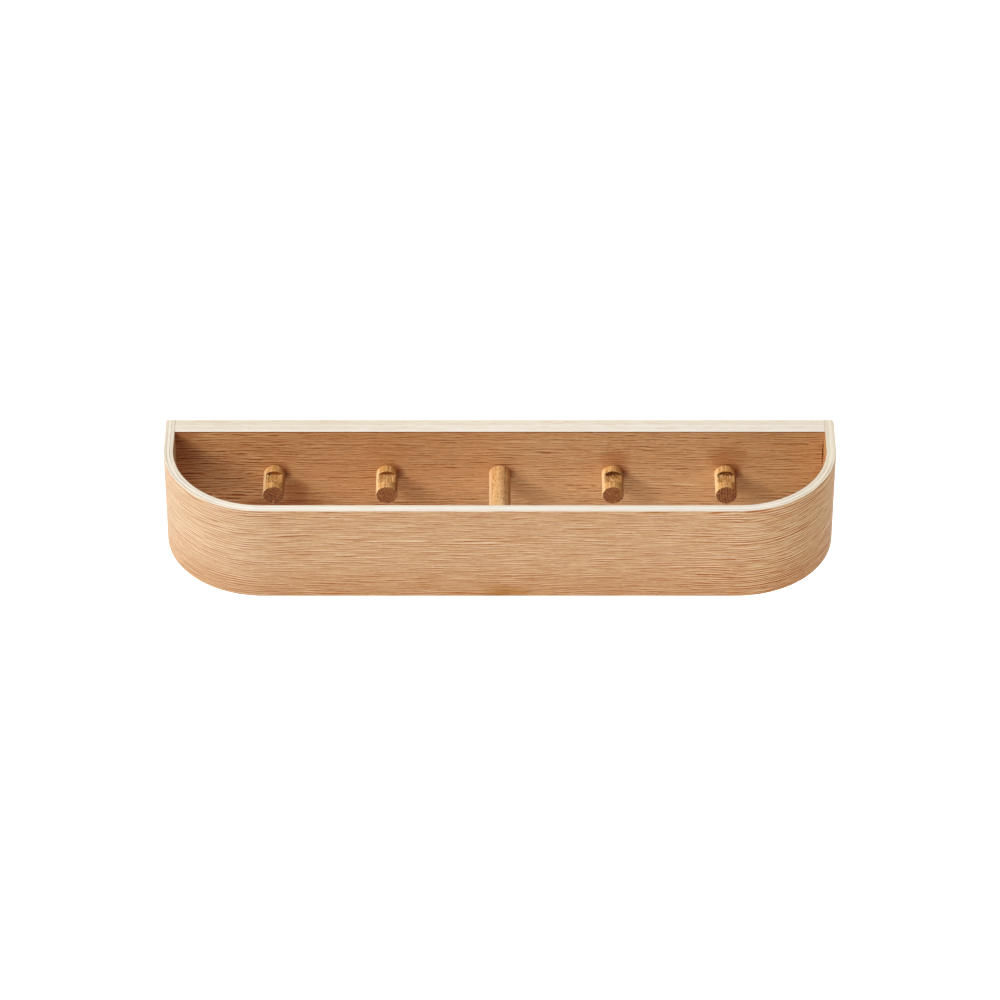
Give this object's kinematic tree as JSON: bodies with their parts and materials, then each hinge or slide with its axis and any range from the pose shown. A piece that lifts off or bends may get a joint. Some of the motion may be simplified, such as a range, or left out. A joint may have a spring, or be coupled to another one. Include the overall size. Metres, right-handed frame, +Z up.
{
  "type": "wall coat rack",
  "caption": "Wall coat rack: a bent plywood band round a straight backboard makes an open tray, with saddled coat pegs inside and a centre dowel tying front to back.",
  "frame": {"origin": "centre of the face that lies on the wall, at mid-height", "axes": "+X along the wall to the right as seen from the room, +Y into the wall, +Z up"},
  "size_m": [0.62, 0.136, 0.1],
  "materials": {
    "board_plywood": "oak-veneered plywood, oiled satin, pale birch layers at the edges",
    "band_plywood": "oak-veneered bent plywood, oiled satin, pale layered rims",
    "peg_oak": "solid turned oak, oiled, darker end grain",
    "dowel_oak": "solid oak dowel, oiled satin",
    "screw_steel": "zinc-plated steel",
    "joint_beech": "plain beech, unfinished"
  },
  "bodies": {
    "root": {"backboard": "board_plywood", "front_band": "band_plywood", "peg_far_left": "peg_oak", "peg_left": "peg_oak", "centre_dowel": "dowel_oak", "peg_right": "peg_oak", "peg_far_right": "peg_oak", "screw_far_left": "screw_steel", "screw_left": "screw_steel", "screw_centre": "screw_steel", "screw_right": "screw_steel", "screw_far_right": "screw_steel", "joint_dowel_left_upper": "joint_beech", "joint_dowel_left_lower": "joint_beech", "joint_dowel_right_upper": "joint_beech", "joint_dowel_right_lower": "joint_beech"}
  },
  "joints": []
}
